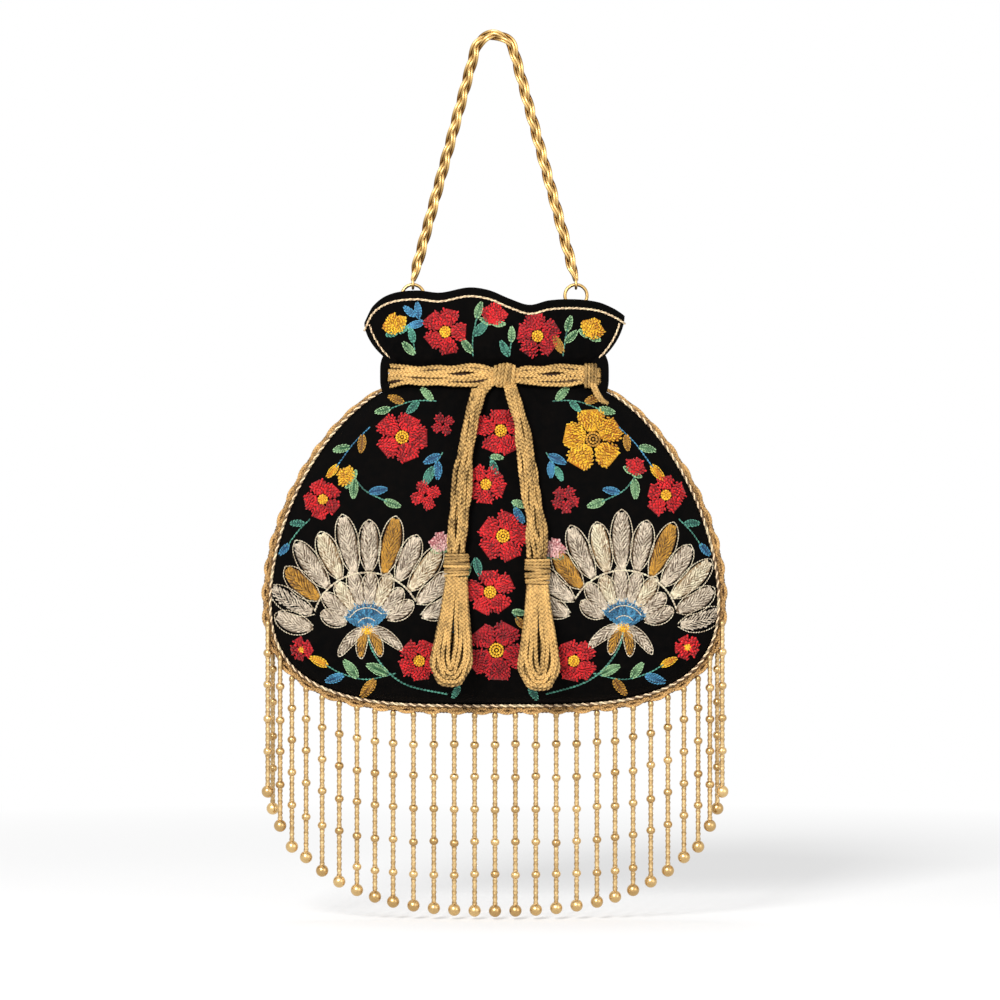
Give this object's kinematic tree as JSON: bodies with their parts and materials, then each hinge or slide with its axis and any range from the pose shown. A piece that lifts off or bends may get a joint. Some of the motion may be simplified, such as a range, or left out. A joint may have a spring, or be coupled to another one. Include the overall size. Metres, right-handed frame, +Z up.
{
  "type": "potli bag",
  "caption": "Black velvet drawstring pouch with embroidered flowers, a gold chain handle, looped tassels and a hanging bead fringe.",
  "frame": {"origin": "inside top of the chain handle, where the bag hangs", "axes": "+Z up along the bag's height, +X to the right seen from the front, front towards -Y, depth along Y"},
  "size_m": [0.2187, 0.0588, 0.4165],
  "materials": {
    "velvet": "black velvet with embroidery",
    "lining": "dark satin",
    "gold_thread": "gold thread skein, soft metallic sheen",
    "gold_braid": "gold cord braid",
    "silver_piping": "twisted silver-beige thread",
    "gold_metal": "satin gold plated wire",
    "fringe_beads": "polished gold beads on gold purl tube"
  },
  "bodies": {
    "handle": {"handle_chain": "gold_metal"},
    "ring_left": {"ring_left": "gold_metal"},
    "ring_right": {"ring_right": "gold_metal"},
    "bag": {"front_panel": "velvet", "back_panel": "velvet", "lining": "lining", "seam_braid": "gold_braid", "front_piping": "silver_piping", "back_piping": "silver_piping", "frill_piping": "silver_piping", "neck_band": "gold_thread", "knot_wrap": "gold_thread", "side_loop_left": "velvet", "side_loop_right": "velvet", "ring_tab_left": "velvet", "ring_tab_right": "velvet"},
    "cord_left": {"drawcord_left": "gold_thread", "cord_wrap_left": "gold_thread", "tassel_left": "gold_thread"},
    "cord_right": {"drawcord_right": "gold_thread", "cord_wrap_right": "gold_thread", "tassel_right": "gold_thread"},
    "strand_centre": {"strand_centre": "fringe_beads"},
    "strand_right_01": {"strand_right_01": "fringe_beads"},
    "strand_left_01": {"strand_left_01": "fringe_beads"},
    "strand_right_02": {"strand_right_02": "fringe_beads"},
    "strand_left_02": {"strand_left_02": "fringe_beads"},
    "strand_right_03": {"strand_right_03": "fringe_beads"},
    "strand_left_03": {"strand_left_03": "fringe_beads"},
    "strand_right_04": {"strand_right_04": "fringe_beads"},
    "strand_left_04": {"strand_left_04": "fringe_beads"},
    "strand_right_05": {"strand_right_05": "fringe_beads"},
    "strand_left_05": {"strand_left_05": "fringe_beads"},
    "strand_right_06": {"strand_right_06": "fringe_beads"},
    "strand_left_06": {"strand_left_06": "fringe_beads"},
    "strand_right_07": {"strand_right_07": "fringe_beads"},
    "strand_left_07": {"strand_left_07": "fringe_beads"},
    "strand_right_08": {"strand_right_08": "fringe_beads"},
    "strand_left_08": {"strand_left_08": "fringe_beads"},
    "strand_right_09": {"strand_right_09": "fringe_beads"},
    "strand_left_09": {"strand_left_09": "fringe_beads"},
    "strand_right_10": {"strand_right_10": "fringe_beads"},
    "strand_left_10": {"strand_left_10": "fringe_beads"},
    "strand_right_11": {"strand_right_11": "fringe_beads"},
    "strand_left_11": {"strand_left_11": "fringe_beads"},
    "strand_right_12": {"strand_right_12": "fringe_beads"},
    "strand_left_12": {"strand_left_12": "fringe_beads"},
    "strand_right_13": {"strand_right_13": "fringe_beads"},
    "strand_left_13": {"strand_left_13": "fringe_beads"},
    "strand_right_14": {"strand_right_14": "fringe_beads"},
    "strand_left_14": {"strand_left_14": "fringe_beads"}
  },
  "joints": [
    {"name": "ring_left_swing", "type": "hinge", "parent": "handle", "child": "ring_left", "pos_m": [-0.0383, 0, -0.115], "axis": [1, 0, 0], "range_deg": [-35, 35]},
    {"name": "ring_right_swing", "type": "hinge", "parent": "handle", "child": "ring_right", "pos_m": [0.0383, 0, -0.115], "axis": [1, 0, 0], "range_deg": [-45, 45]},
    {"name": "bag_swing", "type": "hinge", "parent": "ring_left", "child": "bag", "pos_m": [-0.0383, 0, -0.1254], "axis": [1, 0, 0], "range_deg": [-35, 35]},
    {"name": "cord_left_swing", "type": "hinge", "parent": "bag", "child": "cord_left", "pos_m": [-0.0072, -0.0166, -0.1643], "axis": [1, 0, 0], "range_deg": [-75, 0]},
    {"name": "cord_right_swing", "type": "hinge", "parent": "bag", "child": "cord_right", "pos_m": [0.0078, -0.0166, -0.1643], "axis": [1, 0, 0], "range_deg": [-75, 0]},
    {"name": "strand_centre_swing", "type": "hinge", "parent": "bag", "child": "strand_centre", "pos_m": [0, 0, -0.3174], "axis": [1, 0, 0], "range_deg": [-60, 60]},
    {"name": "strand_right_01_swing", "type": "hinge", "parent": "bag", "child": "strand_right_01", "pos_m": [0.00958, 0, -0.3174], "axis": [1, 0, 0], "range_deg": [-60, 60]},
    {"name": "strand_left_01_swing", "type": "hinge", "parent": "bag", "child": "strand_left_01", "pos_m": [-0.00958, 0, -0.3174], "axis": [1, 0, 0], "range_deg": [-60, 60]},
    {"name": "strand_right_02_swing", "type": "hinge", "parent": "bag", "child": "strand_right_02", "pos_m": [0.01917, 0, -0.31736], "axis": [1, 0, 0], "range_deg": [-60, 60]},
    {"name": "strand_left_02_swing", "type": "hinge", "parent": "bag", "child": "strand_left_02", "pos_m": [-0.01917, 0, -0.31736], "axis": [1, 0, 0], "range_deg": [-60, 60]},
    {"name": "strand_right_03_swing", "type": "hinge", "parent": "bag", "child": "strand_right_03", "pos_m": [0.02875, 0, -0.31723], "axis": [1, 0, 0], "range_deg": [-60, 60]},
    {"name": "strand_left_03_swing", "type": "hinge", "parent": "bag", "child": "strand_left_03", "pos_m": [-0.02875, 0, -0.31723], "axis": [1, 0, 0], "range_deg": [-60, 60]},
    {"name": "strand_right_04_swing", "type": "hinge", "parent": "bag", "child": "strand_right_04", "pos_m": [0.03833, 0, -0.31692], "axis": [1, 0, 0], "range_deg": [-60, 60]},
    {"name": "strand_left_04_swing", "type": "hinge", "parent": "bag", "child": "strand_left_04", "pos_m": [-0.03833, 0, -0.31692], "axis": [1, 0, 0], "range_deg": [-60, 60]},
    {"name": "strand_right_05_swing", "type": "hinge", "parent": "bag", "child": "strand_right_05", "pos_m": [0.0479, 0, -0.31631], "axis": [1, 0, 0], "range_deg": [-60, 60]},
    {"name": "strand_left_05_swing", "type": "hinge", "parent": "bag", "child": "strand_left_05", "pos_m": [-0.0479, 0, -0.31631], "axis": [1, 0, 0], "range_deg": [-60, 60]},
    {"name": "strand_right_06_swing", "type": "hinge", "parent": "bag", "child": "strand_right_06", "pos_m": [0.05643, 0, -0.31538], "axis": [1, 0, 0], "range_deg": [-60, 60]},
    {"name": "strand_left_06_swing", "type": "hinge", "parent": "bag", "child": "strand_left_06", "pos_m": [-0.05643, 0, -0.31538], "axis": [1, 0, 0], "range_deg": [-60, 60]},
    {"name": "strand_right_07_swing", "type": "hinge", "parent": "bag", "child": "strand_right_07", "pos_m": [0.06489, 0, -0.31396], "axis": [1, 0, 0], "range_deg": [-60, 60]},
    {"name": "strand_left_07_swing", "type": "hinge", "parent": "bag", "child": "strand_left_07", "pos_m": [-0.06489, 0, -0.31396], "axis": [1, 0, 0], "range_deg": [-60, 60]},
    {"name": "strand_right_08_swing", "type": "hinge", "parent": "bag", "child": "strand_right_08", "pos_m": [0.07321, 0, -0.31189], "axis": [1, 0, 0], "range_deg": [-60, 60]},
    {"name": "strand_left_08_swing", "type": "hinge", "parent": "bag", "child": "strand_left_08", "pos_m": [-0.07321, 0, -0.31189], "axis": [1, 0, 0], "range_deg": [-60, 60]},
    {"name": "strand_right_09_swing", "type": "hinge", "parent": "bag", "child": "strand_right_09", "pos_m": [0.08125, 0, -0.309], "axis": [1, 0, 0], "range_deg": [-60, 60]},
    {"name": "strand_left_09_swing", "type": "hinge", "parent": "bag", "child": "strand_left_09", "pos_m": [-0.08125, 0, -0.309], "axis": [1, 0, 0], "range_deg": [-60, 60]},
    {"name": "strand_right_10_swing", "type": "hinge", "parent": "bag", "child": "strand_right_10", "pos_m": [0.08879, 0, -0.30512], "axis": [1, 0, 0], "range_deg": [-60, 60]},
    {"name": "strand_left_10_swing", "type": "hinge", "parent": "bag", "child": "strand_left_10", "pos_m": [-0.08879, 0, -0.30512], "axis": [1, 0, 0], "range_deg": [-60, 60]},
    {"name": "strand_right_11_swing", "type": "hinge", "parent": "bag", "child": "strand_right_11", "pos_m": [0.09547, 0, -0.3002], "axis": [1, 0, 0], "range_deg": [-60, 60]},
    {"name": "strand_left_11_swing", "type": "hinge", "parent": "bag", "child": "strand_left_11", "pos_m": [-0.09547, 0, -0.3002], "axis": [1, 0, 0], "range_deg": [-60, 60]},
    {"name": "strand_right_12_swing", "type": "hinge", "parent": "bag", "child": "strand_right_12", "pos_m": [0.10086, -0.00295, -0.29016], "axis": [1, 0, 0], "range_deg": [-60, 0]},
    {"name": "strand_left_12_swing", "type": "hinge", "parent": "bag", "child": "strand_left_12", "pos_m": [-0.10086, -0.00295, -0.29016], "axis": [1, 0, 0], "range_deg": [-60, 0]},
    {"name": "strand_right_13_swing", "type": "hinge", "parent": "bag", "child": "strand_right_13", "pos_m": [0.10461, 0.00295, -0.28245], "axis": [1, 0, 0], "range_deg": [0, 60]},
    {"name": "strand_left_13_swing", "type": "hinge", "parent": "bag", "child": "strand_left_13", "pos_m": [-0.10461, 0.00295, -0.28245], "axis": [1, 0, 0], "range_deg": [0, 60]},
    {"name": "strand_right_14_swing", "type": "hinge", "parent": "bag", "child": "strand_right_14", "pos_m": [0.10664, -0.00295, -0.27412], "axis": [1, 0, 0], "range_deg": [-60, 0]},
    {"name": "strand_left_14_swing", "type": "hinge", "parent": "bag", "child": "strand_left_14", "pos_m": [-0.10664, -0.00295, -0.27412], "axis": [1, 0, 0], "range_deg": [-60, 0]}
  ],
  "couplings": [
    {"joint": "ring_right_swing", "follows": "ring_left_swing", "ratio": 1}
  ]
}
